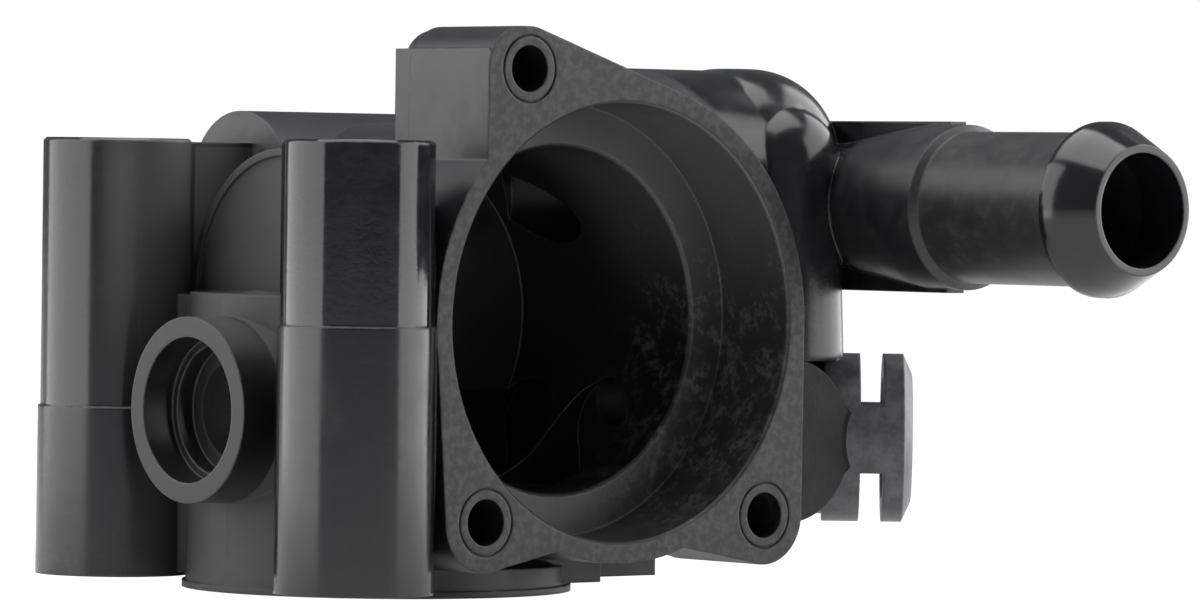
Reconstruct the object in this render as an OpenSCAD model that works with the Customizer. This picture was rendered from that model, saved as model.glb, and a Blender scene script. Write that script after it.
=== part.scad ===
// Moulded engine coolant housing: one solid of black glass-filled plastic.
// Origin: centre of the coolant inlet on the mounting face. +Z runs up the bolt columns,
// -Y is the side of the three-screw mouth and -X the side of the sensor port.

/* [Inlet and mounting face] */
// Radius of the coolant inlet opening in the mounting face
inlet_r = 19.5; // [16:0.5:21]
// Depth of that opening, up to a small step
inlet_depth = 10; // [8:0.5:11.5]
// Radius of the round mounting flange at the bottom
base_r = 25.5; // [24.5:0.1:28]
// Thickness of that flange
base_h = 3.5; // [2.5:0.1:5]
// Width of the small step round the rim of that flange
base_step = 0.45; // [0.2:0.05:0.8]
// Height of the sealing lip under that step
lip_h = 0.9; // [0.5:0.1:1.5]
// Outer radius of the upright inlet wall
well_r = 23.7; // [23:0.1:24.2]
// Distance of the wall's axis from the inlet axis, toward the sensor port
well_shift = 1.5; // [0.5:0.1:2]
// Height of the shelf that closes the wall above the sensor port
shelf_z = 38.5; // [37:0.5:40]
// Radius of the fillet where the wall stands on the flange
foot_fillet_r = 2.2; // [1:0.1:3]

/* [Bolt columns] */
// Distance of the two column axes from the inlet axis, along X
column_x = 24.1; // [23:0.1:26]
// Distance between the two column axes
column_pitch = 51.2; // [50:0.1:53]
// Height of the column tops above the mounting face
column_top = 58.5; // [56:0.5:62]
// Height of the column feet above the mounting face
column_foot = 1.2; // [0.6:0.1:2]
// Radius of a column at its top
column_top_r = 9.35; // [9:0.05:9.6]
// Growth of that radius down to the parting step
column_draft = 0.4; // [0.2:0.05:0.5]
// Width of the parting step round a column
parting_step = 0.3; // [0.2:0.05:0.4]
// Height of the parting step on the column beside the mouth
near_parting_z = 35; // [28:0.5:42]
// Height of the parting step on the other column
far_parting_z = 23.3; // [18:0.5:32]
// Radius of the bolt hole through a column
bolt_r = 4.5; // [4:0.1:5.5]
// Thickness of the webs between the columns and the inlet wall
web_t = 8; // [5:0.5:10]
// Thickness of the upright plate behind the far column
panel_t = 9; // [6:0.5:12]
// Gap between the barrel and the face of that plate
panel_gap = 1; // [0.5:0.1:2]

/* [Mouth] */
// Distance of the mouth axis from the inlet axis, along X
mouth_x = 14; // [12:0.5:16]
// Height of the mouth axis
mouth_z = 35.5; // [34.5:0.1:37]
// Distance of the mouth's sealing face in front of the inlet axis
face_out = 33.1; // [31:0.1:36]
// Radius of the mouth at the face
mouth_r = 28.3; // [27.5:0.1:28.8]
// Wall round the mouth
mouth_wall = 2.8; // [2.2:0.1:3.5]
// Depth of the seat that closes the wide part of the mouth
seat_depth = 13.2; // [12:0.1:15]
// Width of the small bevel along the mouth, the seat and other edges
edge = 0.4; // [0.2:0.05:0.6]
// Radius of the chamber behind the seat
chamber_r = 22.7; // [21:0.1:23.5]
// Wall of the chamber behind the seat
chamber_wall = 3; // [2.4:0.1:4]
// Depth of the chamber's back wall behind the face
chamber_depth = 48; // [44:0.5:52]
// Radius of the two arched recesses low in the chamber's side wall
recess_r = 7.2; // [6:0.1:7.4]
// Distance of the front recess behind the mouth's face
recess_in = 28; // [27:0.5:29]
// Distance between the two recesses
recess_pitch = 15.4; // [15:0.1:16]
// Distance of the recesses' end wall from the inlet axis
recess_x = 36; // [35:0.5:36.5]
// Radius of the passage from the front recess to the spigot
passage_r = 3.3; // [2.5:0.1:4]
// Height of that passage above the spigot axis
passage_up = 4.5; // [3:0.5:5]

/* [Foot under the chamber] */
// Half width of the foot where it leaves the round flange
foot_half = 20.2; // [18:0.1:21]
// Distance of the foot's straight edge from the inlet axis
foot_x = 21.4; // [20:0.1:23]
// Distance of the foot's inner corner from the inlet axis
foot_in_x = 29.1; // [27:0.1:31]
// Half width of the tab at the end of the foot
tab_half = 11.1; // [9:0.1:13]
// Distance of the tab's end from the inlet axis
tab_x = 38.7; // [36:0.1:40]
// Thickness of the foot and its tab
foot_t = 3.4; // [3:0.1:5]

/* [Mouth screws] */
// Radius of the three screw holes
screw_r = 3; // [2:0.1:3.5]
// Depth of the screw holes
screw_depth = 12; // [8:0.5:14]
// Top screw: distance left of the mouth axis
top_screw_x = 16.5; // [15:0.5:18]
// Top screw: height above the mouth axis
top_screw_z = 32.4; // [31:0.1:34]
// Left screw: distance left of the mouth axis
left_screw_x = 22.7; // [21.5:0.1:24]
// Right screw: distance right of the mouth axis
right_screw_x = 24.5; // [23:0.1:25.5]
// Lower screws: distance below the mouth axis
low_screw_z = 25.3; // [24:0.1:26.5]
// Radius of the material round the top screw
top_boss_r = 5.4; // [5:0.1:6]
// Distance of the top boss's flat side from its screw axis
top_boss_side = 6.7; // [6:0.1:8]
// Depth of the top boss
top_boss_d = 19.5; // [16:0.5:22]
// Radius of the material round the lower screws
low_boss_r = 6.5; // [6:0.1:7]
// Angle, from the bottom of the ring, at which the underside of a lower boss leaves it
low_waist = 20; // [14:1:26]
// Width of the raised lip round a screw hole
screw_lip_w = 1.1; // [0.6:0.1:1.5]
// Depth of the groove round that lip
screw_groove = 0.35; // [0.2:0.05:0.6]

/* [Barrel above the shelf] */
// Radius of the barrel
barrel_r = 19; // [18:0.1:20]
// Height of the barrel axis
barrel_z = 38.4; // [37.5:0.1:39.5]
// Distance of the barrel's end from the inlet axis
barrel_out = 16; // [14.5:0.1:17]
// Wall of the barrel
barrel_wall = 3; // [2.4:0.1:4]
// Width of the bead round the barrel's end
barrel_bead = 1; // [0.6:0.1:1.4]
// Radius of the closed tube above the barrel
tube_r = 10.9; // [10:0.1:11.5]
// Height of that tube's axis
tube_z = 51.5; // [50.5:0.1:52.5]
// Distance of that tube's axis behind the inlet axis
tube_y = 22.8; // [21:0.1:24]
// Distance of that tube's end from the inlet axis
tube_out = 6; // [5:0.1:8]

/* [Sensor port] */
// Height of the sensor port's axis
port_z = 23.6; // [22.5:0.1:24.5]
// Distance of the port's face from the inlet axis
port_out = 31.4; // [29.5:0.1:33]
// Outer radius of the port
port_r = 12; // [11.2:0.1:12.6]
// Radius of the port's mouth
port_mouth_r = 9.4; // [8.8:0.1:9.8]
// Depth of the port's mouth
port_mouth_d = 4.7; // [3.5:0.1:6]
// Radius of the port's seal seat
port_seat_r = 8.3; // [7.8:0.1:8.6]
// Depth of the port's seal seat below its mouth
port_seat_d = 2.5; // [2:0.1:4]
// Radius of the opening at the bottom of the port
port_bore_r = 6.2; // [5.5:0.1:6.8]
// Width of the cone at the port's root
port_cone = 3.4; // [2:0.1:4]
// Length of that cone
port_cone_l = 5; // [3:0.5:7]

/* [Hose pipe] */
// Distance of the pipe axis from the inlet axis, along X
pipe_x = 61; // [60.4:0.2:61.6]
// Height of the pipe axis
pipe_z = 50.9; // [50:0.1:52]
// Outer radius of the pipe
pipe_r = 10; // [9.4:0.1:10.5]
// Bore radius of the pipe
pipe_bore_r = 7.45; // [6.5:0.05:8]
// Distance of the pipe's end in front of the mouth's face
pipe_reach = 46.7; // [40:0.1:52]
// Radius of the hose bead
bead_r = 11.4; // [11:0.1:12]
// Outer radius at the pipe's end
tip_r = 8.4; // [8.2:0.1:9]
// Length of the taper from the bead to the end
bead_taper = 6.2; // [4:0.1:8]
// Length of the bead's crown
bead_crown = 1.2; // [0.8:0.1:3]
// Length of the bead's back slope
bead_back = 1.2; // [0.6:0.1:3]
// Radius of the collar at the root
collar_r = 10.9; // [10.7:0.1:11.6]
// Length of the collar
collar_l = 6.5; // [4:0.1:9]
// Distance of the collar's front edge in front of the mouth's face
collar_reach = 15.2; // [12:0.1:17]
// Radius of the slim neck behind the collar
neck_r = 8.4; // [8.2:0.1:9]
// Length over which that neck widens to the collar
neck_l = 16.5; // [12:0.5:18]
// Bore radius of the neck
neck_bore_r = 7.1; // [6.4:0.1:7.2]
// Distance of the neck's closed end behind the dome axis
neck_back = 8; // [7.5:0.1:9]
// Width of the bevel round that end
neck_bevel = 2.5; // [1.5:0.1:3]
// Thickness of the upright rib along the neck
rib_t = 3; // [2:0.1:4]
// Height of that rib above and below the pipe axis
rib_half = 11.3; // [11:0.1:11.9]

/* [Outlet dome] */
// Radius of the upright domed outlet
dome_r = 14; // [13:0.1:15]
// Growth of that radius down to the dome's lower end
dome_draft = 0.9; // [0.4:0.1:1.2]
// Distance of its axis from the inlet axis, along X
dome_x = 49.9; // [48.5:0.1:51]
// Distance of its axis behind the mouth's face
dome_in = 20; // [18.5:0.1:21]
// Height of its top
dome_top = 69; // [67:0.1:70]
// Radius of the rounding at its top
dome_round = 12; // [10:0.1:12.5]
// Height of its lower end
dome_low = 30.2; // [29.6:0.1:31]
// Radius of the upright corner between the mouth and the hose pipe
corner_r = 8; // [7:0.1:8.6]
// Distance of that corner's axis from the inlet axis, along X
corner_x = 50.2; // [49.4:0.1:51]
// Distance of that corner's axis behind the mouth's face
corner_in = 11.1; // [10.4:0.1:12]
// Height of that corner's rounded top
corner_top = 64; // [60:0.5:65]
// Radius of the dome's hollow lower part
sump_r = 9.1; // [7:0.1:9.3]
// Radius of the stem from the dome down to the drum
stem_r = 9; // [8.5:0.1:9.5]
// Wall of the dome and of its duct
dome_wall = 3; // [2.4:0.1:4]
// Radius of the shoulder between the mouth and the dome
shoulder_r = 13.7; // [12.5:0.1:13.9]
// Bore radius of the slanted duct from the chamber to the dome
duct_bore_r = 5.5; // [4.8:0.1:6]
// Angle of that duct from the X axis
duct_turn = 48; // [45:1:50]
// Length of that duct from the dome axis
duct_l = 31; // [30:0.5:32]

/* [Side spigot] */
// Radius of the drum under the dome
drum_r = 10.8; // [10.6:0.1:11.2]
// Distance of the drum's axis from the inlet axis, along X
drum_x = 44.4; // [43.5:0.1:45.5]
// Height of the drum and spigot axis
drum_z = 19.8; // [19:0.1:21]
// Distance of the drum's face behind the mouth's face
drum_in = 1.8; // [1.2:0.1:3]
// Distance of the drum's back behind the mouth's face
drum_back = 39; // [37:0.5:41]
// Outer radius of the spigot
spigot_r = 11.3; // [10.8:0.1:11.8]
// Radius of the spigot's root
spigot_root_r = 10.3; // [9.8:0.1:10.5]
// Length of that root from the dome axis
spigot_root_l = 12.4; // [11:0.1:13]
// Bore radius of the spigot
spigot_bore_r = 8.2; // [7:0.1:8.4]
// Angle of the spigot from the X axis, toward the mouth
spigot_turn = 41; // [36:1:44]
// Distance of the spigot's end from the dome axis
spigot_l = 24.3; // [23:0.1:25.5]
// Depth of the spigot's bore past the dome axis
spigot_behind = 8; // [6:0.5:9]
// Length of the bevel round the spigot's end
spigot_bevel = 1.2; // [0.8:0.1:1.6]
// Width of the two clip slots
slot_w = 3.1; // [2:0.1:4]
// Distance of the clip slots from the spigot's end
slot_in = 3.9; // [3:0.1:4.5]
// Height of the bridge between the two clip slots
slot_bridge = 8.9; // [7:0.1:10]

/* [Hidden] */
plastic = "#2d2d2f";
$fn = 48;
// one overrun for every cut that runs past a face
over = 1;
face_y = -face_out;
ring_r = mouth_r + mouth_wall;
chamber_out_r = chamber_r + chamber_wall;
column_y = column_pitch / 2;
panel_y = barrel_r + panel_gap;
dome_y = face_y + dome_in;
drum_y = face_y + drum_in;
recess_y = face_y + recess_in;
// direction, round the mouth, of the straight side from its ring to the top boss
top_tangent = atan2(top_screw_z, -top_screw_x) - acos((ring_r - top_boss_r) / norm([top_screw_x, top_screw_z]));

// a cylinder from y = 0 toward +Y
module along_y(r, h, r2 = undef) {
    rotate([-90, 0, 0]) cylinder(h = h, r1 = r, r2 = is_undef(r2) ? r : r2);
}

// a cylinder from x = 0 toward +X
module along_x(r, h, r2 = undef) {
    rotate([0, 90, 0]) cylinder(h = h, r1 = r, r2 = is_undef(r2) ? r : r2);
}

// one bolt column, revolved, with its draft and its parting step
module column(parting_z) {
    upper_r = column_top_r + column_draft;
    lower_r = upper_r + parting_step;
    rotate_extrude() polygon([
        [0, column_foot],
        [lower_r + column_draft - parting_step, column_foot],
        [lower_r, parting_z],
        [upper_r, parting_z],
        [column_top_r + edge, column_top - edge],
        [column_top_r, column_top],
        [0, column_top]
    ]);
}

// round flange, sealing lip and the filleted foot of the inlet wall
module base() {
    cylinder(h = lip_h, r = base_r);
    translate([0, 0, lip_h]) cylinder(h = base_h - lip_h, r = base_r - base_step);
    translate([-well_shift, 0, 0]) {
        cylinder(h = shelf_z, r = well_r);
        intersection() {
            translate([0, 0, base_h]) rotate_extrude() difference() {
                square([well_r + foot_fillet_r, foot_fillet_r]);
                translate([well_r + foot_fillet_r, foot_fillet_r]) circle(r = foot_fillet_r);
            }
            translate([well_shift, 0, 0]) cylinder(h = shelf_z, r = base_r - base_step);
        }
    }
}

// web from the inlet axis to one column
module column_web(side) {
    rotate([0, 0, atan2(side * column_y, -column_x)])
        translate([0, -web_t / 2, column_foot + edge])
            cube([norm([column_x, column_y]), web_t, shelf_z - column_foot - edge * 2]);
}

// upright plate from the far column to the body
module panel() {
    translate([-column_x, panel_y, column_foot + edge * 2])
        cube([column_x + mouth_x, panel_t, column_top - column_foot - edge * 3]);
}

// foot and tab under the chamber, with the web that carries them
module foot() {
    translate([0, 0, column_foot]) {
        linear_extrude(foot_t) polygon([
            [0, -foot_half],
            [foot_x, -foot_half],
            [foot_in_x, -tab_half],
            [tab_x, -tab_half],
            [tab_x, tab_half],
            [foot_in_x, tab_half],
            [foot_x, foot_half],
            [0, foot_half]
        ]);
        translate([0, -web_t / 2, 0])
            cube([recess_x, web_t, mouth_z - chamber_r - chamber_wall / 2 - column_foot]);
    }
}

// barrel with its end bead, and the closed tube above it
module barrel() {
    translate([-barrel_out, 0, barrel_z]) {
        along_x(barrel_r, barrel_out + mouth_x);
        translate([-barrel_bead / 2, 0, 0]) rotate([0, 90, 0]) rotate_extrude()
            translate([barrel_r - barrel_bead, 0]) square([barrel_bead, barrel_bead]);
    }
    translate([-tube_out, tube_y, tube_z]) along_x(tube_r, tube_out + dome_x - dome_r);
}

// sensor port with the cone at its root
module port() {
    translate([-port_out, 0, port_z]) along_x(port_r, port_out - well_shift);
    translate([-well_r - well_shift, 0, port_z]) along_x(port_r, port_cone_l, port_r + port_cone);
}

// outline of the mouth's sealing face, seen from the front, centred on the mouth
module mouth_outline() {
    corner_x = -top_screw_x - top_boss_side + top_boss_r;
    circle(r = ring_r);
    for (x = [-top_screw_x, corner_x]) translate([x, top_screw_z]) circle(r = top_boss_r);
    polygon([
        [-top_screw_x - top_boss_side, 0],
        [-top_screw_x - top_boss_side, top_screw_z],
        [corner_x, top_screw_z + top_boss_r],
        [-top_screw_x, top_screw_z + top_boss_r],
        [-top_screw_x + top_boss_r * cos(top_tangent), top_screw_z + top_boss_r * sin(top_tangent)],
        [ring_r * cos(top_tangent), ring_r * sin(top_tangent)],
        [0, 0]
    ]);
    low_lobe(-left_screw_x, -1);
    low_lobe(right_screw_x, 1);
}

// one lower lobe, with its straight sides to the ring
module low_lobe(x, side) {
    translate([x, -low_screw_z]) circle(r = low_boss_r);
    polygon([
        [side * ring_r, 0],
        [x + side * low_boss_r, -low_screw_z],
        [x, -low_screw_z - low_boss_r],
        [side * ring_r * sin(low_waist), -ring_r * cos(low_waist)],
        [0, 0]
    ]);
}

// mouth ring, its three bosses and the chamber behind it
module mouth() {
    boss_r = top_boss_r - edge;
    translate([mouth_x, face_y, mouth_z]) {
        rotate([90, 0, 0]) mirror([0, 0, 1]) linear_extrude(seat_depth + chamber_wall) mouth_outline();
        translate([0, seat_depth, 0]) along_y(chamber_out_r, chamber_depth + chamber_wall - seat_depth);
        translate([-top_screw_x, edge, top_screw_z]) along_y(boss_r, top_boss_d - edge);
        translate([-top_screw_x - top_boss_side + edge, edge, mouth_z - chamber_r])
            cube([top_boss_side - edge, top_boss_d - edge, top_screw_z + boss_r / 2 - mouth_z + chamber_r]);
    }
}

// arched boss on the chamber's side that holds the two recesses
module recess_boss() {
    for (step = [0, recess_pitch])
        translate([mouth_x, recess_y + step, drum_z])
            along_x(recess_r + chamber_wall, recess_x + chamber_wall - mouth_x);
    translate([mouth_x, recess_y - recess_r - chamber_wall + edge, mouth_z - chamber_out_r + edge])
        cube([
            recess_x + chamber_wall - edge - mouth_x,
            recess_pitch + (recess_r + chamber_wall - edge) * 2,
            drum_z - mouth_z + chamber_out_r
        ]);
}

// domed outlet, its shoulder to the mouth and its slanted duct from the chamber
module outlet() {
    wall_h = dome_top - dome_round - dome_low;
    translate([dome_x, dome_y, dome_low]) rotate_extrude() {
        polygon([[0, 0], [dome_r + dome_draft, 0], [dome_r, wall_h], [0, wall_h]]);
        translate([0, wall_h]) square([dome_r - dome_round, dome_round]);
        translate([dome_r - dome_round, wall_h]) intersection() {
            circle(r = dome_round);
            square([dome_round, dome_round]);
        }
    }
    translate([corner_x, face_y + corner_in, dome_low + edge]) rotate_extrude() {
        corner_h = corner_top - corner_r - dome_low;
        polygon([[0, 0], [corner_r + dome_draft, 0], [corner_r, corner_h], [0, corner_h]]);
        translate([0, corner_h]) intersection() {
            circle(r = corner_r);
            square([corner_r, corner_r]);
        }
    }
    translate([dome_x, dome_y, drum_z]) cylinder(h = dome_low + dome_wall - drum_z, r = stem_r);
    translate([mouth_x, dome_y, dome_top - dome_r]) along_x(shoulder_r, dome_x - mouth_x);
    translate([dome_x, dome_y, pipe_z]) rotate([0, 0, 180 - duct_turn])
        along_x(duct_bore_r + dome_wall, duct_l + dome_wall);
}

// hose pipe, revolved about its axis, which runs toward -Y
module pipe() {
    length = pipe_reach + dome_in;
    collar_at = collar_reach + dome_in;
    translate([pipe_x, dome_y, pipe_z]) {
        rotate([90, 0, 0]) rotate_extrude() polygon([
            [0, -neck_back],
            [neck_r - neck_bevel, -neck_back],
            [neck_r, neck_bevel - neck_back],
            [neck_r, collar_at - collar_l - neck_l],
            [collar_r, collar_at - collar_l],
            [collar_r, collar_at - (collar_r - pipe_r)],
            [pipe_r, collar_at],
            [pipe_r, length - bead_taper - bead_crown - bead_back],
            [bead_r, length - bead_taper - bead_crown],
            [bead_r, length - bead_taper],
            [tip_r, length],
            [0, length]
        ]);
        translate([-rib_t / 2, -collar_at + collar_l / 2, -rib_half])
            cube([rib_t, collar_at - collar_l / 2, rib_half * 2]);
    }
}

// drum under the dome and the slotted spigot that leaves it
module spigot() {
    translate([drum_x, drum_y, drum_z]) along_y(drum_r, drum_back - drum_in);
    translate([dome_x, dome_y, drum_z]) rotate([0, 0, -spigot_turn]) rotate([0, 90, 0])
        rotate_extrude() polygon([
            [0, dome_wall - spigot_behind],
            [spigot_root_r, dome_wall - spigot_behind],
            [spigot_root_r, spigot_root_l],
            [spigot_r, spigot_root_l],
            [spigot_r, spigot_l - spigot_bevel],
            [spigot_bore_r + edge, spigot_l],
            [0, spigot_l]
        ]);
}

// openings inside the mouth, the chamber, the inlet and the barrel
module flow_cuts() {
    translate([mouth_x, face_y, mouth_z]) {
        rotate([-90, 0, 0]) rotate_extrude() polygon([
            [0, -over],
            [mouth_r + edge + over, -over],
            [mouth_r, edge],
            [mouth_r, seat_depth],
            [chamber_r + edge, seat_depth],
            [chamber_r, seat_depth + edge],
            [chamber_r, chamber_depth],
            [0, chamber_depth]
        ]);
    }
    for (step = [0, recess_pitch]) translate([mouth_x, recess_y + step, drum_z]) {
        along_x(recess_r, recess_x - mouth_x);
        translate([0, -recess_r + edge, mouth_z - chamber_r - drum_z])
            cube([recess_x - mouth_x, (recess_r - edge) * 2, drum_z - mouth_z + chamber_r]);
    }
    translate([recess_x - over, recess_y, drum_z + passage_up])
        along_x(passage_r, dome_x - recess_x - passage_r);
    translate([0, 0, -over]) cylinder(h = inlet_depth + over, r = inlet_r);
    cylinder(h = mouth_z, r = inlet_r - edge);
    translate([-barrel_out + barrel_wall, 0, barrel_z])
        along_x(barrel_r - barrel_wall, barrel_out - barrel_wall + mouth_x);
}

// stepped bore of the sensor port
module port_cuts() {
    translate([-port_out, 0, port_z]) {
        translate([-over, 0, 0]) along_x(port_mouth_r, port_mouth_d + over);
        along_x(port_seat_r, port_mouth_d + port_seat_d);
        along_x(port_bore_r, port_out);
    }
}

// openings of the dome, the hose pipe and the spigot
module outlet_cuts() {
    dome_bore_r = dome_r - dome_wall;
    translate([dome_x, dome_y, 0]) rotate_extrude() {
        polygon([
            [0, dome_low + dome_wall],
            [sump_r, dome_low + dome_wall],
            [sump_r, pipe_z - pipe_bore_r],
            [dome_bore_r, pipe_z - pipe_bore_r],
            [dome_bore_r, dome_top - dome_r],
            [0, dome_top - dome_r]
        ]);
        translate([0, dome_top - dome_r]) intersection() {
            circle(r = dome_bore_r);
            square([dome_bore_r, dome_bore_r]);
        }
    }
    translate([dome_x, dome_y, pipe_z]) rotate([0, 0, 180 - duct_turn]) along_x(duct_bore_r, duct_l);
    translate([pipe_x, face_y - pipe_reach - over, pipe_z])
        along_y(pipe_bore_r, pipe_reach + over - collar_reach + collar_l / 2);
    translate([pipe_x, face_y - collar_reach, pipe_z])
        along_y(neck_bore_r, collar_reach + dome_in + neck_back - dome_wall);
    translate([dome_x, dome_y, drum_z]) rotate([0, 0, -spigot_turn]) {
        translate([-spigot_behind, 0, 0]) along_x(spigot_bore_r, spigot_behind + spigot_l + over);
        for (side = [-1, 1])
            translate([spigot_l - slot_in - slot_w, -spigot_r - over, side > 0 ? slot_bridge / 2 : -spigot_r - over])
                cube([slot_w, spigot_r * 2 + over * 2, spigot_r + over - slot_bridge / 2]);
    }
}

// one blind screw hole with the groove round its lip
module screw_cut(x, z) {
    translate([mouth_x + x, face_y, mouth_z + z]) {
        translate([0, -over, 0]) along_y(screw_r, screw_depth + over);
        translate([0, -over, 0]) difference() {
            along_y(screw_r + screw_lip_w + screw_groove, over + screw_groove);
            along_y(screw_r + screw_lip_w, over * 2 + screw_groove);
        }
    }
}

module housing() {
    color(plastic) difference() {
        union() {
            base();
            translate([-column_x, -column_y, 0]) column(near_parting_z);
            translate([-column_x, column_y, 0]) column(far_parting_z);
            column_web(-1);
            column_web(1);
            panel();
            foot();
            barrel();
            port();
            mouth();
            recess_boss();
            outlet();
            pipe();
            spigot();
        }
        flow_cuts();
        port_cuts();
        outlet_cuts();
        for (side = [-1, 1])
            translate([-column_x, side * column_y, -over]) cylinder(h = column_top + over * 2, r = bolt_r);
        screw_cut(-top_screw_x, top_screw_z);
        screw_cut(-left_screw_x, -low_screw_z);
        screw_cut(right_screw_x, -low_screw_z);
    }
}

housing();
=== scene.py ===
import math
import bmesh
import bpy
from mathutils import Matrix, Vector


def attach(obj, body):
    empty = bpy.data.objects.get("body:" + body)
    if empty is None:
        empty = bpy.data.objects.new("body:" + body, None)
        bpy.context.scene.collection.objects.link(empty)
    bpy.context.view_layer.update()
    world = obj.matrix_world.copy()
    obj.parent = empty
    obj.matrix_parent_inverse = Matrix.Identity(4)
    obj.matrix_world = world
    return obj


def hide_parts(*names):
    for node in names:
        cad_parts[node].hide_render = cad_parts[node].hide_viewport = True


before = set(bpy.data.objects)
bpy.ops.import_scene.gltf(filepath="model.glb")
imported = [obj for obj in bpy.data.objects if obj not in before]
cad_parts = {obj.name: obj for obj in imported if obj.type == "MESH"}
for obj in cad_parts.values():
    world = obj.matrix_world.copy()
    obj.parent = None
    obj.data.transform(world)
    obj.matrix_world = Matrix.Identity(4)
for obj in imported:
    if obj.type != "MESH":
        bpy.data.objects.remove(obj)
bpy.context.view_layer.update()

mm = 0.001

scene = bpy.context.scene
scene.view_settings.view_transform = "Standard"

# small node helpers

def newMaterial(name):
    mat = bpy.data.materials.new(name)
    mat.use_nodes = True
    nodes = mat.node_tree.nodes
    for node in list(nodes):
        nodes.remove(node)
    return mat, nodes, mat.node_tree.links


def addNode(nodes, kind, inputs=None, **settings):
    node = nodes.new(kind)
    for key, value in settings.items():
        setattr(node, key, value)
    for key, value in (inputs or {}).items():
        node.inputs[key].default_value = value
    return node


def mathNode(tree, operation, a, b=None, clamp=False):
    node = tree.nodes.new("ShaderNodeMath")
    node.operation = operation
    node.use_clamp = clamp
    for slot, value in enumerate((a, b)):
        if value is None:
            continue
        if isinstance(value, (int, float)):
            node.inputs[slot].default_value = value
        else:
            tree.links.new(value, node.inputs[slot])
    return node.outputs[0]


def times(tree, first, *others):
    for other in others:
        first = mathNode(tree, "MULTIPLY", first, other)
    return first


def plus(tree, first, *others):
    for other in others:
        first = mathNode(tree, "ADD", first, other)
    return first


def below(tree, value, limit):
    return mathNode(tree, "LESS_THAN", value, limit)


def above(tree, value, limit):
    return mathNode(tree, "GREATER_THAN", value, limit)


def larger(tree, a, b):
    return mathNode(tree, "MAXIMUM", a, b)


def outside(tree, mask):
    return mathNode(tree, "SUBTRACT", 1.0, mask)


def stepMask(tree, value, low, high):  # 0 at low, 1 at high
    node = tree.nodes.new("ShaderNodeMapRange")
    node.interpolation_type = "SMOOTHSTEP"
    tree.links.new(value, node.inputs["Value"])
    node.inputs["From Min"].default_value = low
    node.inputs["From Max"].default_value = high
    return node.outputs["Result"]


def nearPlane(tree, value, place, width):  # 1 within width of the plane
    off = mathNode(tree, "ABSOLUTE", mathNode(tree, "SUBTRACT", value, place))
    return below(tree, off, width)


def distanceFrom(tree, a, b, place):  # from an axis at place, across the a and b directions
    parts = [mathNode(tree, "POWER", mathNode(tree, "SUBTRACT", v, p), 2.0)
             for v, p in ((a, place[0]), (b, place[1]))]
    return mathNode(tree, "SQRT", plus(tree, *parts))


def patchy(tree, mask, noise, gain, base):  # a mask made uneven by noise
    return mathNode(tree, "MULTIPLY", mask, plus(tree, times(tree, noise, gain), base), clamp=True)


def mixNode(tree, factor, a, b, dataType, socketType):
    node = tree.nodes.new("ShaderNodeMix")
    node.data_type = dataType
    tree.links.new(factor, node.inputs["Factor"])
    for slot, value in (("A", a), ("B", b)):
        socket = [s for s in node.inputs if s.name == slot and s.type == socketType][0]
        if isinstance(value, (int, float, tuple)):
            socket.default_value = value
        else:
            tree.links.new(value, socket)
    return [s for s in node.outputs if s.type == socketType][0]


def mixColour(tree, factor, a, b):
    return mixNode(tree, factor, a, b, "RGBA", "RGBA")


def mixValue(tree, factor, a, b):
    return mixNode(tree, factor, a, b, "FLOAT", "VALUE")


def noiseAt(tree, coords, scale, detail, roughness, seed):
    mapping = addNode(tree.nodes, "ShaderNodeMapping", {"Location": seed})
    noise = addNode(tree.nodes, "ShaderNodeTexNoise",
                    {"Scale": scale, "Detail": detail, "Roughness": roughness})
    tree.links.new(coords, mapping.inputs["Vector"])
    tree.links.new(mapping.outputs[0], noise.inputs["Vector"])
    return noise.outputs["Fac"]


# camera, at the photograph's view

cameraFit = {
    "azimuth": -40.31, "elevation": 1.02, "roll": 0.81,
    "distance": 0.90174, "focalPixels": 7000.0, "sensorWidth": 36, "clip": (0.05, 20),
    "aim": (14 * mm, -33.1 * mm, 35.5 * mm),  # centre of the mouth on its face
    "aimPixel": (625.0, 322.8), "imageSize": (1200, 610),
}


def placeCamera(fit):
    a, e, r = (math.radians(fit[k]) for k in ("azimuth", "elevation", "roll"))
    back = Vector((math.sin(a) * math.cos(e), -math.cos(a) * math.cos(e), math.sin(e)))
    right = Vector((math.cos(a), math.sin(a), 0))
    up = back.cross(right)
    axisX = right * math.cos(r) + up * math.sin(r)
    axisY = up * math.cos(r) - right * math.sin(r)
    width, height = fit["imageSize"]
    perPixel = fit["distance"] / fit["focalPixels"]
    offX = (fit["aimPixel"][0] - width / 2) * perPixel
    offY = -(fit["aimPixel"][1] - height / 2) * perPixel
    spot = Vector(fit["aim"]) - axisX * offX - axisY * offY + back * fit["distance"]
    data = bpy.data.cameras.new("camera")
    data.sensor_fit = "HORIZONTAL"
    data.sensor_width = fit["sensorWidth"]
    data.lens = fit["focalPixels"] / width * fit["sensorWidth"]
    data.clip_start, data.clip_end = fit["clip"]
    camera = bpy.data.objects.new("camera", data)
    turn = Matrix((axisX, axisY, back)).transposed().to_4x4()
    camera.matrix_world = Matrix.Translation(spot) @ turn
    scene.collection.objects.link(camera)
    scene.camera = camera


placeCamera(cameraFit)
print("camera placed")

# floor and world

studio = {
    "floorSize": 6.0, "floorZ": -0.2 * mm, "floorShade": (0.86, 0.86, 0.86, 1),
    "floorGlow": 1.12, "floorWhite": 0.9, "floorMirrored": 0.5,
    "white": (1, 1, 1, 1), "worldLight": 0.18, "worldTint": (0.84, 0.92, 1.0, 1),
}


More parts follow.
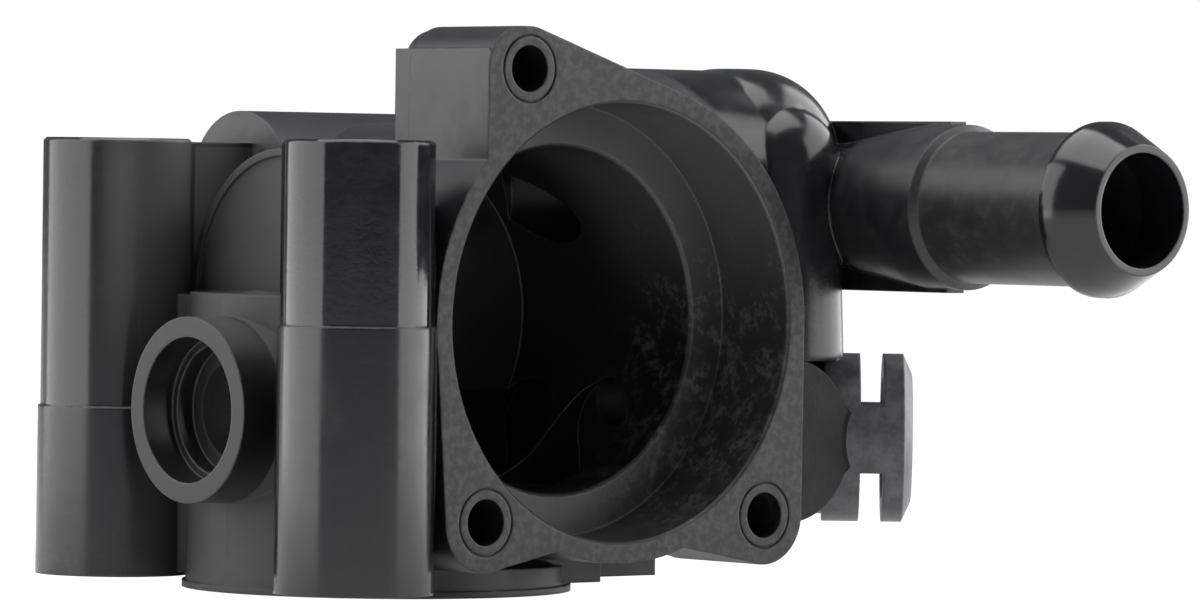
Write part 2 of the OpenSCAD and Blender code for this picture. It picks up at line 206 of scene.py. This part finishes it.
# the floor glows white to the camera and, more weakly, in reflections
def makeFloor(values):
    mesh = bpy.data.meshes.new("floor")
    half, low = values["floorSize"] / 2, values["floorZ"]
    corners = [(-half, -half, low), (half, -half, low), (half, half, low), (-half, half, low)]
    mesh.from_pydata(corners, [], [(0, 1, 2, 3)])
    floor = bpy.data.objects.new("floor", mesh)
    scene.collection.objects.link(floor)
    mat, nodes, links = newMaterial("paleFloor")
    tree = mat.node_tree
    diffuse = addNode(nodes, "ShaderNodeBsdfDiffuse", {"Color": values["floorShade"]})
    glow = addNode(nodes, "ShaderNodeEmission",
                   {"Color": values["white"], "Strength": values["floorGlow"]})
    path = addNode(nodes, "ShaderNodeLightPath")
    seen = larger(tree, times(tree, path.outputs["Is Camera Ray"], values["floorWhite"]),
                  times(tree, path.outputs["Is Glossy Ray"], values["floorMirrored"]))
    mix = addNode(nodes, "ShaderNodeMixShader")
    out = addNode(nodes, "ShaderNodeOutputMaterial")
    links.new(seen, mix.inputs[0])
    links.new(diffuse.outputs[0], mix.inputs[1])
    links.new(glow.outputs[0], mix.inputs[2])
    links.new(mix.outputs[0], out.inputs["Surface"])
    mesh.materials.append(mat)


# white to the camera, a weak cool light to the object
def makeWorld(values):
    world = bpy.data.worlds.new("studioWorld")
    world.use_nodes = True
    scene.world = world
    tree = world.node_tree
    nodes, links = tree.nodes, tree.links
    for node in list(nodes):
        nodes.remove(node)
    cameraRay = addNode(nodes, "ShaderNodeLightPath").outputs["Is Camera Ray"]
    sky = addNode(nodes, "ShaderNodeBackground")
    out = addNode(nodes, "ShaderNodeOutputWorld")
    links.new(mixColour(tree, cameraRay, values["worldTint"], values["white"]), sky.inputs["Color"])
    links.new(mixValue(tree, cameraRay, values["worldLight"], 1.0), sky.inputs["Strength"])
    links.new(sky.outputs[0], out.inputs["Surface"])


# lamps, in millimetres: upright panels run from near to far on the floor plan
lamps = {
    "leftPanel": {"near": (-250, -26), "far": (-130, 480), "low": -60, "high": 440, "glow": 2.5},
    "rightPanel": {"near": (173, -430), "far": (446, 145), "low": -60, "high": 440, "glow": 2.6},
}
topLamp = {"place": (20, 40, 620), "size": 560, "glow": 3.0}


def addLamp(name, centre, target, width, height, glow):
    data = bpy.data.lights.new(name, "AREA")
    data.shape = "RECTANGLE"
    data.size, data.size_y = width * mm, height * mm
    data.energy = glow * math.pi * data.size * data.size_y
    obj = bpy.data.objects.new(name, data)
    obj.location = Vector(centre) * mm
    obj.rotation_euler = (Vector(target) - Vector(centre)).to_track_quat("-Z", "Y").to_euler()
    obj.visible_camera = False
    scene.collection.objects.link(obj)


def makeLamps(table, top):
    for name, lamp in table.items():
        near, far = Vector(lamp["near"]), Vector(lamp["far"])
        middle, along = (near + far) / 2, far - near
        height = (lamp["low"] + lamp["high"]) / 2
        inward = Vector((along.y, -along.x))
        if inward.dot(-middle) < 0:
            inward = -inward
        target = middle + inward
        addLamp(name, (middle.x, middle.y, height), (target.x, target.y, height),
                along.length, lamp["high"] - lamp["low"], lamp["glow"])
    x, y, z = top["place"]
    addLamp("topLamp", (x, y, z), (x, y, 0), top["size"], top["size"], top["glow"])


makeFloor(studio)
makeWorld(studio)
makeLamps(lamps, topLamp)
print("studio ready")

# glass-filled plastic: steps are pairs, mask 0 at the first value and 1 at the second

plastic = {
    "wall": (0.0080, 0.0084, 0.0096, 1), "wallPale": (0.017, 0.0175, 0.018, 1),
    "lapped": (0.016, 0.017, 0.0165, 1), "lappedPale": (0.044, 0.046, 0.044, 1),
    "wearAndHighlight": (0.100, 0.102, 0.100, 1), "dustAndFill": (0.034, 0.0335, 0.031, 1),
    "innerDustAndFill": (0.090, 0.087, 0.080, 1), "filmAndFill": (0.105, 0.103, 0.100, 1),
    "coarseAndShade": (0.005, 0.005, 0.005, 1), "scuffAndSheen": (0.115, 0.12, 0.125, 1),
    "ior": 1.53,
    # noise
    "cloud": {"scale": 34.0, "detail": 5, "roughness": 0.62, "seed": (0, 0, 0)},
    "mottle": {"scale": 260.0, "detail": 5, "roughness": 0.7, "seed": (0.3, 0.1, 0.2)},
    "fibre": {"scale": 900.0, "detail": 3, "roughness": 0.6, "seed": (0.7, 0.4, 0.9)},
    "paleCloud": (0.42, 0.68), "paleMottle": (0.40, 0.66),
    "grainMottle": (0.42, 0.62), "grainFibre": (0.40, 0.60),
    # lapped faces
    "faceY": -33.1 * mm, "faceSlack": 0.5 * mm, "portX": -31.4 * mm, "portSlack": 0.3 * mm,
    "squareOn": (0.9, 0.97), "lappedFibre": (0.40, 0.66),
    # edge wear and painted edge highlight
    "edgeRadius": 0.45 * mm, "edgeSamples": 6, "edgeBend": (0.985, 0.86),
    "edgeMottle": (0.34, 0.6), "edgeStrength": 0.7,
    # dust and painted fill light between the bolt columns
    "pocket": (-14 * mm, 3 * mm), "pocketStep": (20.5 * mm, 15.5 * mm),
    "pocketTop": (60 * mm, 57 * mm), "portZ": 23.6 * mm, "portBore": 9.6 * mm,
    "pocketDustAndFill": (0.9, 0.2),
    # dust and painted fill light beside the far column
    "columnX": -24.1 * mm, "columnY": 25.6 * mm, "columnReach": 10.3 * mm,
    "columnInner": (20 * mm, 17 * mm), "plateReach": 10.25 * mm, "plateFront": (18.2 * mm, 19.4 * mm),
    "plateTop": (57.8 * mm, 57.2 * mm), "plateSide": (4 * mm, -2 * mm), "plateBack": 30 * mm,
    "innerHeight": (22 * mm, 54 * mm), "innerPatches": (0.8, 0.4),
    # coolant film and painted fill light in the mouth
    "mouthAxis": (14 * mm, 35.5 * mm), "mouthStep": (28.9 * mm, 28.5 * mm),
    "mouthLip": 0.15 * mm, "filmDepth": (1 * mm, -13 * mm),
    "upperZ": (30 * mm, 56 * mm), "upperX": (8 * mm, 30 * mm), "upperFill": 0.62,
    "rightX": (14 * mm, 34 * mm), "rightFilm": 0.75,
    "bandStep": (22.8 * mm, 23.4 * mm), "bandFill": 0.20,
    # coarse, dark surfaces, and painted shade in the passage and the port's bore
    "drumAxis": (44.4 * mm, 19.8 * mm), "drumR": 10.8 * mm, "drumFaceY": -31.3 * mm,
    "drumFaceSlack": 0.4 * mm, "drumRimSlack": 0.3 * mm, "drumSideSlack": 0.35 * mm,
    "passageAxis": (-5.1 * mm, 24.3 * mm), "passageR": 3.6 * mm, "passageX": 33 * mm,
    "holeR": 6.5 * mm, "holeX": (-26 * mm, -10 * mm), "coarseAndShadeStrength": 0.9,
    # spigot: scuffs and painted sheen
    "spigotRoot": (49.9 * mm, -13.1 * mm, 19.8 * mm), "spigotTurn": 41.0,
    "spigotReach": 11.7 * mm, "scuffStep": (6 * mm, 13 * mm), "scuffMottle": (0.36, 0.64),
    "scuffPatches": (0.55, 0.42),
    # hose pipe, dome and columns
    "pipeBack": -47.5 * mm, "beadBack": -72.2 * mm, "pipeDust": (0.5, 0.25),
    "domeAxis": (50 * mm, -14 * mm), "domeStep": (18 * mm, 16 * mm), "domeLow": 31 * mm,
    "columnStep": (11.4 * mm, 10.4 * mm), "nearParting": 35 * mm, "farParting": 23.3 * mm,
    # roughness; low and far are added to the column's
    "wallRough": 0.42, "domeRough": 0.19, "beadRough": 0.15, "dustyRough": 0.60,
    "filmRough": 0.40, "coarseRough": 0.75, "lappedRough": 0.60,
    "columnRough": 0.09, "lowRough": 0.08, "farRough": 0.07,
    "mottleRough": 0.16, "paleRough": 0.08,
    # bump
    "bumpStrength": 0.3, "bumpDepth": 0.05 * mm,
    "mottleHeight": 0.5, "fibreHeight": 0.35, "drumHeight": 9.0,
}


# sockets that the zones share
def surfaceSockets(tree, values):
    coords = addNode(tree.nodes, "ShaderNodeTexCoord").outputs["Object"]
    place = addNode(tree.nodes, "ShaderNodeSeparateXYZ")
    tree.links.new(coords, place.inputs[0])
    geometry = addNode(tree.nodes, "ShaderNodeNewGeometry")
    facing = addNode(tree.nodes, "ShaderNodeSeparateXYZ")
    tree.links.new(geometry.outputs["True Normal"], facing.inputs[0])
    rounded = addNode(tree.nodes, "ShaderNodeBevel", {"Radius": values["edgeRadius"]},
                      samples=values["edgeSamples"])
    here = dict(zip("xyz", place.outputs))
    here["facingX"], here["facingY"] = facing.outputs[0], facing.outputs[1]
    here["normal"], here["rounded"] = geometry.outputs["Normal"], rounded.outputs[0]
    for name in ("cloud", "mottle", "fibre"):
        here[name] = noiseAt(tree, coords, **values[name])
    here["pale"] = times(tree, stepMask(tree, here["cloud"], *values["paleCloud"]),
                         stepMask(tree, here["mottle"], *values["paleMottle"]))
    here["grain"] = times(tree, stepMask(tree, here["mottle"], *values["grainMottle"]),
                          stepMask(tree, here["fibre"], *values["grainFibre"]))
    here["portAway"] = distanceFrom(tree, here["y"], here["z"], (0.0, values["portZ"]))
    return here


# the flat matt faces of the mouth and the sensor port
def lappedFaces(tree, values, here):
    mouth, port = (
        times(tree, nearPlane(tree, here[axis], values[plane], values[slack]),
              stepMask(tree, times(tree, here[facing], -1), *values["squareOn"]))
        for axis, facing, plane, slack in (("y", "facingY", "faceY", "faceSlack"),
                                           ("x", "facingX", "portX", "portSlack")))
    return mouth, larger(tree, mouth, port)


# wear and painted highlight along the edges, from the difference between the rounded and the flat
# normal
def edgeWearAndHighlight(tree, values, here):
    dot = addNode(tree.nodes, "ShaderNodeVectorMath", operation="DOT_PRODUCT")
    tree.links.new(here["rounded"], dot.inputs[0])
    tree.links.new(here["normal"], dot.inputs[1])
    return times(tree, stepMask(tree, dot.outputs["Value"], *values["edgeBend"]),
                 stepMask(tree, here["mottle"], *values["edgeMottle"]), values["edgeStrength"])


# the pocket between the bolt columns, without the port's bore, lightened by dust and painted fill
# light
def pocketZone(tree, values, here, lapped):
    away = distanceFrom(tree, here["x"], here["y"], values["pocket"])
    return times(tree, stepMask(tree, away, *values["pocketStep"]),
                 stepMask(tree, here["z"], *values["pocketTop"]),
                 above(tree, here["portAway"], values["portBore"]), outside(tree, lapped))


# dust and painted fill light on the far column's inner side and the plate beside it, fading downward
def innerZone(tree, values, here):
    x, y, z = here["x"], here["y"], here["z"]
    away = distanceFrom(tree, x, y, (values["columnX"], values["columnY"]))
    inner = times(tree, below(tree, away, values["columnReach"]),
                  stepMask(tree, y, *values["columnInner"]))
    plate = times(tree, above(tree, away, values["plateReach"]),
                  stepMask(tree, y, *values["plateFront"]), stepMask(tree, z, *values["plateTop"]),
                  stepMask(tree, x, *values["plateSide"]), below(tree, y, values["plateBack"]))
    return times(tree, larger(tree, inner, plate), stepMask(tree, z, *values["innerHeight"]))


# the inside of the mouth and the chamber, and the pale film that coolant has left there, with painted
# fill light towards the top and on the bore's outer wall
def mouthZone(tree, values, here):
    x, y, z = here["x"], here["y"], here["z"]
    away = distanceFrom(tree, x, z, values["mouthAxis"])
    inside = times(tree, stepMask(tree, away, *values["mouthStep"]),
                   above(tree, y, values["faceY"] + values["mouthLip"]))
    # painted light: paler towards the top of the chamber
    upper = times(tree, stepMask(tree, z, *values["upperZ"]), stepMask(tree, x, *values["upperX"]),
                  values["upperFill"])
    right = times(tree, stepMask(tree, x, *values["rightX"]), here["grain"], values["rightFilm"])
    # painted light: the mouth's outer bore wall made paler
    band = times(tree, stepMask(tree, away, *values["bandStep"]), values["bandFill"])
    filmAndFill = plus(tree, larger(tree, right, upper), band)
    return inside, times(tree, filmAndFill, stepMask(tree, y, *values["filmDepth"]), inside)


# the drum's coarse face and side, with painted shade in the passage to the spigot and the port's
# inner bore
def coarseAndShadeZone(tree, values, here, inside):
    x, y, z = here["x"], here["y"], here["z"]
    away = distanceFrom(tree, x, z, values["drumAxis"])
    face = times(tree, nearPlane(tree, y, values["drumFaceY"], values["drumFaceSlack"]),
                 below(tree, away, values["drumR"] + values["drumRimSlack"]))
    side = times(tree, nearPlane(tree, away, values["drumR"], values["drumSideSlack"]),
                 above(tree, y, values["drumFaceY"] - values["drumFaceSlack"]))
    passageAway = distanceFrom(tree, y, z, values["passageAxis"])
    # painted shade: the passage is made black
    passage = times(tree, below(tree, passageAway, values["passageR"]),
                    above(tree, x, values["passageX"]))
    # painted shade: the port's bore is made black
    hole = times(tree, below(tree, here["portAway"], values["holeR"]),
                 above(tree, x, values["holeX"][0]), below(tree, x, values["holeX"][1]))
    drum = times(tree, larger(tree, face, side), outside(tree, inside))
    return larger(tree, drum, larger(tree, passage, hole))


# the spigot's pale scuffs, which also stand in for a painted sheen
def spigotZone(tree, values, here, coarseAndShade):
    turn = math.radians(values["spigotTurn"])
    rootX, rootY, rootZ = values["spigotRoot"]
    fromX = mathNode(tree, "SUBTRACT", here["x"], rootX)
    fromY = mathNode(tree, "SUBTRACT", here["y"], rootY)
    along = plus(tree, times(tree, fromX, math.cos(turn)), times(tree, fromY, -math.sin(turn)))
    across = plus(tree, times(tree, fromX, math.sin(turn)), times(tree, fromY, math.cos(turn)))
    away = distanceFrom(tree, across, here["z"], (0.0, rootZ))
    return times(tree, stepMask(tree, along, *values["scuffStep"]),
                 below(tree, away, values["spigotReach"]), outside(tree, coarseAndShade))


# both bolt columns and their roughness: duller below the parting steps, and duller at the back
def columnZone(tree, values, here):
    far = above(tree, here["y"], 0.0)
    near, back = (
        stepMask(tree, distanceFrom(tree, here["x"], here["y"], (values["columnX"], y)),
                 *values["columnStep"])
        for y in (-values["columnY"], values["columnY"]))
    parting = mixValue(tree, far, values["nearParting"], values["farParting"])
    low = below(tree, mathNode(tree, "SUBTRACT", here["z"], parting), 0.0)
    rough = plus(tree, times(tree, low, values["lowRough"]), values["columnRough"],
                 times(tree, far, values["farRough"]))
    return larger(tree, near, back), rough


def makePlastic(values):
    mat, nodes, links = newMaterial("mouldedPlastic")
    tree = mat.node_tree
    here = surfaceSockets(tree, values)
    mouthFace, lapped = lappedFaces(tree, values, here)
    pocket = pocketZone(tree, values, here, lapped)
    inside, filmAndFill = mouthZone(tree, values, here)
    coarseAndShade = coarseAndShadeZone(tree, values, here, inside)
    column, columnRough = columnZone(tree, values, here)
    bead = below(tree, here["y"], values["beadBack"])
    pipe = mathNode(tree, "SUBTRACT", below(tree, here["y"], values["pipeBack"]), bead)
    domeAway = distanceFrom(tree, here["x"], here["y"], values["domeAxis"])
    dome = times(tree, stepMask(tree, domeAway, *values["domeStep"]),
                 above(tree, here["z"], values["domeLow"]))

    # each layer lies over the ones before it
    fibrePale = times(tree, mouthFace, stepMask(tree, here["fibre"], *values["lappedFibre"]))
    scuffAndSheenNoise = stepMask(tree, here["mottle"], *values["scuffMottle"])
    layers = (
        (lapped, mixColour(tree, fibrePale, values["lapped"], values["lappedPale"])),
        # pale edges: rubbed wear that also stands in for painted edge highlights
        (edgeWearAndHighlight(tree, values, here), values["wearAndHighlight"]),
        # dust and painted fill light, lightening the recess between the columns
        (patchy(tree, pocket, here["cloud"], *values["pocketDustAndFill"]), values["dustAndFill"]),
        # dust and painted fill light, paler towards the top
        (patchy(tree, innerZone(tree, values, here), here["cloud"], *values["innerPatches"]),
         values["innerDustAndFill"]),
        # coolant film, with painted fill light in the mouth and chamber
        (filmAndFill, values["filmAndFill"]),
        # coarse dark drum, and painted shade in the passage and the port's bore
        (times(tree, coarseAndShade, values["coarseAndShadeStrength"]), values["coarseAndShade"]),
        # pale scuffs and painted sheen on the spigot
        (patchy(tree, spigotZone(tree, values, here, coarseAndShade), scuffAndSheenNoise, *values["scuffPatches"]),
         values["scuffAndSheen"]),
        (patchy(tree, pipe, here["grain"], *values["pipeDust"]), values["dustAndFill"]),
    )
    colour = mixColour(tree, here["pale"], values["wall"], values["wallPale"])
    for mask, paint in layers:
        colour = mixColour(tree, mask, colour, paint)

    rough = mixValue(tree, dome, values["wallRough"], values["domeRough"])
    for mask, value in ((bead, values["beadRough"]), (column, columnRough),
                        (pocket, values["dustyRough"]), (inside, values["filmRough"]),
                        (coarseAndShade, values["coarseRough"])):
        rough = mixValue(tree, mask, rough, value)
    uneven = times(tree, mathNode(tree, "SUBTRACT", here["mottle"], 0.5), values["mottleRough"])
    rough = plus(tree, rough, uneven, times(tree, here["pale"], values["paleRough"]))
    rough = mixValue(tree, lapped, rough, values["lappedRough"])

    height = plus(tree, times(tree, here["mottle"], values["mottleHeight"]),
                  times(tree, here["fibre"], values["fibreHeight"]),
                  times(tree, coarseAndShade, here["fibre"], values["drumHeight"]))
    bump = addNode(nodes, "ShaderNodeBump",
                   {"Strength": values["bumpStrength"], "Distance": values["bumpDepth"]})
    links.new(height, bump.inputs["Height"])
    links.new(here["rounded"], bump.inputs["Normal"])

    shader = addNode(nodes, "ShaderNodeBsdfPrincipled", {"IOR": values["ior"]})
    links.new(colour, shader.inputs["Base Color"])
    links.new(rough, shader.inputs["Roughness"])
    links.new(bump.outputs[0], shader.inputs["Normal"])
    out = addNode(nodes, "ShaderNodeOutputMaterial")
    links.new(shader.outputs[0], out.inputs["Surface"])
    return mat


mouldedPlastic = makePlastic(plastic)
print("plastic ready")

# the moulding: a merged, smooth-shaded copy of the housing

skin = {"mergeGap": 0.004 * mm, "sharpAngle": 28.0}


def makeHousing(values):
    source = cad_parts["housing"]
    mesh = source.data.copy()
    mesh.name = "housingSkin"
    work = bmesh.new()
    work.from_mesh(mesh)
    bmesh.ops.remove_doubles(work, verts=work.verts, dist=values["mergeGap"])
    limit = math.radians(values["sharpAngle"])
    for edge in work.edges:
        edge.smooth = len(edge.link_faces) == 2 and edge.calc_face_angle(0) < limit
    for face in work.faces:
        face.smooth = True
    work.to_mesh(mesh)
    work.free()
    mesh.materials.clear()
    mesh.materials.append(mouldedPlastic)
    for polygon in mesh.polygons:
        polygon.material_index = 0
    if "custom_normal" in mesh.attributes:
        mesh.attributes.remove(mesh.attributes["custom_normal"])
    piece = bpy.data.objects.new("housingSkin", mesh)
    scene.collection.objects.link(piece)
    return piece


housingSkin = makeHousing(skin)
print("housing skin", len(housingSkin.data.polygons), "faces")

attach(housingSkin, "root")
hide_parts("housing")
